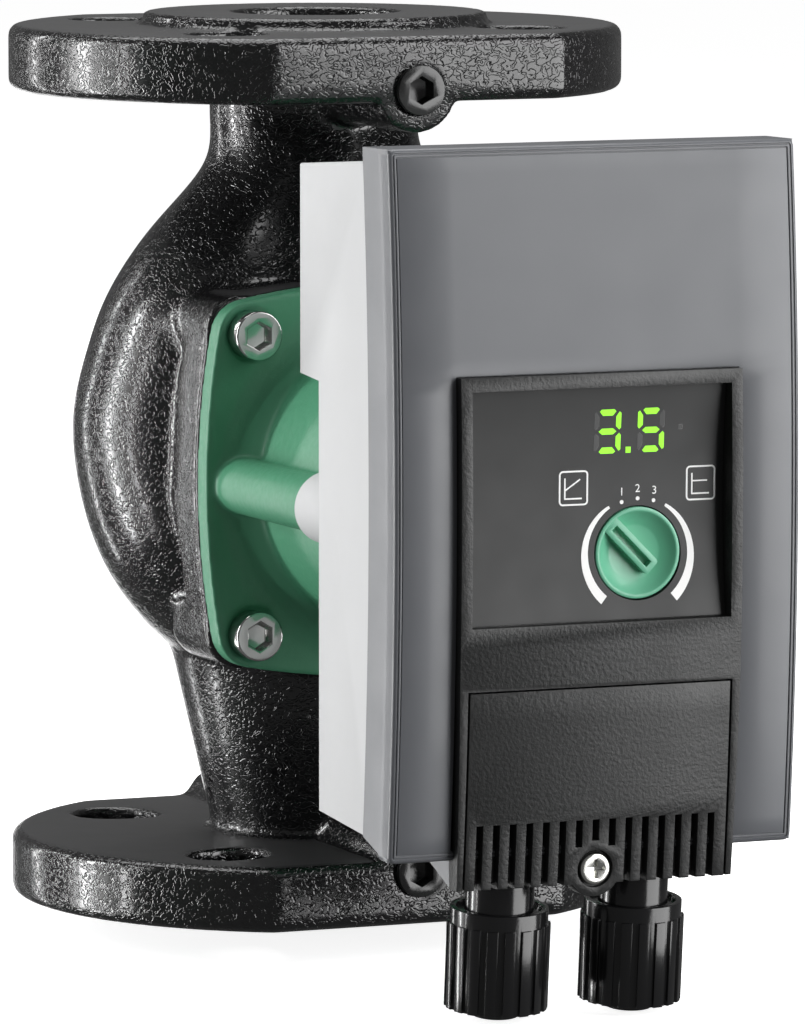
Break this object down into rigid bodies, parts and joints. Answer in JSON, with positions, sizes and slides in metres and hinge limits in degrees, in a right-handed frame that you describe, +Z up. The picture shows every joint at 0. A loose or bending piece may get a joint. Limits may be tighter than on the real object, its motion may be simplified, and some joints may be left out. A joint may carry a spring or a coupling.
{
  "type": "circulator pump",
  "caption": "Wet-rotor heating circulator pump with a flanged cast volute, green motor and grey control module with digit display, knob and cable glands.",
  "frame": {"origin": "centre of the lower port's face", "axes": "+Z up the pipe axis, -Y out of the front of the control module, +X to the right seen from the front"},
  "size_m": [0.15, 0.2386, 0.2252],
  "materials": {
    "casting": "black gloss coating over a rough sand casting",
    "plug_steel": "black gloss coating",
    "seal_rubber": "matte",
    "motor_paint": "satin green powder coating",
    "bolt_steel": "polished",
    "stainless": "fine turned",
    "carbon": "ground ceramic",
    "magnet": "sintered",
    "impeller_plastic": "glass-filled moulding",
    "core_steel": "laminated sheets",
    "copper": "enamelled copper wire",
    "insulator": "plain moulding",
    "module_grey": "fine satin moulding",
    "cover_grey": "satin metallic paint",
    "aluminium": "milled",
    "board": "solder resist",
    "capacitor": "shrink sleeve",
    "display_glass": "dark filter",
    "terminal_grey": "plain moulding",
    "panel_black": "fine spark-eroded grain",
    "foil_black": "printed satin foil",
    "knob_green": "semi-gloss moulding",
    "zinc": "bright zinc",
    "gland_black": "gloss moulding"
  },
  "bodies": {
    "base": {"pump_housing": "casting", "gauge_plugs": "plug_steel", "gauge_seals": "seal_rubber", "motor_housing": "motor_paint", "motor_bolts": "bolt_steel", "bearing_plate": "stainless", "housing_gasket": "seal_rubber", "can_seal": "seal_rubber", "inner_bearing": "carbon", "outer_bearing": "carbon", "rotor_can": "stainless", "wear_ring": "stainless", "stator_core": "core_steel", "stator_winding": "copper", "end_insulators": "insulator", "stator_plug": "insulator", "module_housing": "module_grey", "front_cover": "cover_grey", "module_seal": "seal_rubber", "module_screws": "bolt_steel", "heat_sink": "aluminium", "power_module": "insulator", "circuit_board": "board", "capacitors": "capacitor", "line_choke": "copper", "display_board": "board", "board_pillars": "insulator", "digit_display": "display_glass", "encoder": "insulator", "terminal_block": "terminal_grey", "control_panel": "panel_black", "panel_foil": "foil_black", "gland_body_left": "gland_black", "gland_body_right": "gland_black"},
    "rotor": {"rotor_shaft": "stainless", "rotor_magnet": "magnet", "rotor_sleeve": "stainless", "thrust_washer": "carbon", "impeller": "impeller_plastic", "impeller_nut": "stainless"},
    "knob": {"control_knob": "knob_green"},
    "lid": {"terminal_lid": "panel_black"},
    "screw": {"lid_screw": "zinc"},
    "seal_left": {"gland_seal_left": "seal_rubber"},
    "nut_left": {"gland_nut_left": "gland_black"},
    "seal_right": {"gland_seal_right": "seal_rubber"},
    "nut_right": {"gland_nut_right": "gland_black"}
  },
  "joints": [
    {"name": "rotor_spin", "type": "hinge", "parent": "base", "child": "rotor", "pos_m": [0, -0.07, 0.11], "axis": [0, -1, 0], "continuous": true},
    {"name": "knob_turn", "type": "hinge", "parent": "base", "child": "knob", "pos_m": [0.0106, -0.165, 0.1033], "axis": [0, -1, 0], "range_deg": [-185, 95]},
    {"name": "lid_lift", "type": "slide", "parent": "base", "child": "lid", "axis": [0, -1, 0], "range_m": [0, 0.04]},
    {"name": "lid_screw_turn", "type": "hinge", "parent": "lid", "child": "screw", "pos_m": [0, -0.165, 0.0309], "axis": [0, -1, 0], "range_deg": [0, 1440]},
    {"name": "gland_left_travel", "type": "slide", "parent": "base", "child": "seal_left", "axis": [0, 0.0958, -0.9954], "range_m": [0, 0.0031]},
    {"name": "gland_left_turn", "type": "hinge", "parent": "seal_left", "child": "nut_left", "pos_m": [-0.0169, -0.1515, 0.021], "axis": [0, 0.0958, -0.9954], "range_deg": [0, 720]},
    {"name": "gland_right_travel", "type": "slide", "parent": "base", "child": "seal_right", "axis": [0, 0.0958, -0.9954], "range_m": [0, 0.0031]},
    {"name": "gland_right_turn", "type": "hinge", "parent": "seal_right", "child": "nut_right", "pos_m": [0.0169, -0.1515, 0.021], "axis": [0, 0.0958, -0.9954], "range_deg": [0, 720]}
  ],
  "couplings": [
    {"joint": "gland_left_travel", "follows": "gland_left_turn", "m_per_rad": 0.00023873},
    {"joint": "gland_right_travel", "follows": "gland_right_turn", "m_per_rad": 0.00023873}
  ]
}
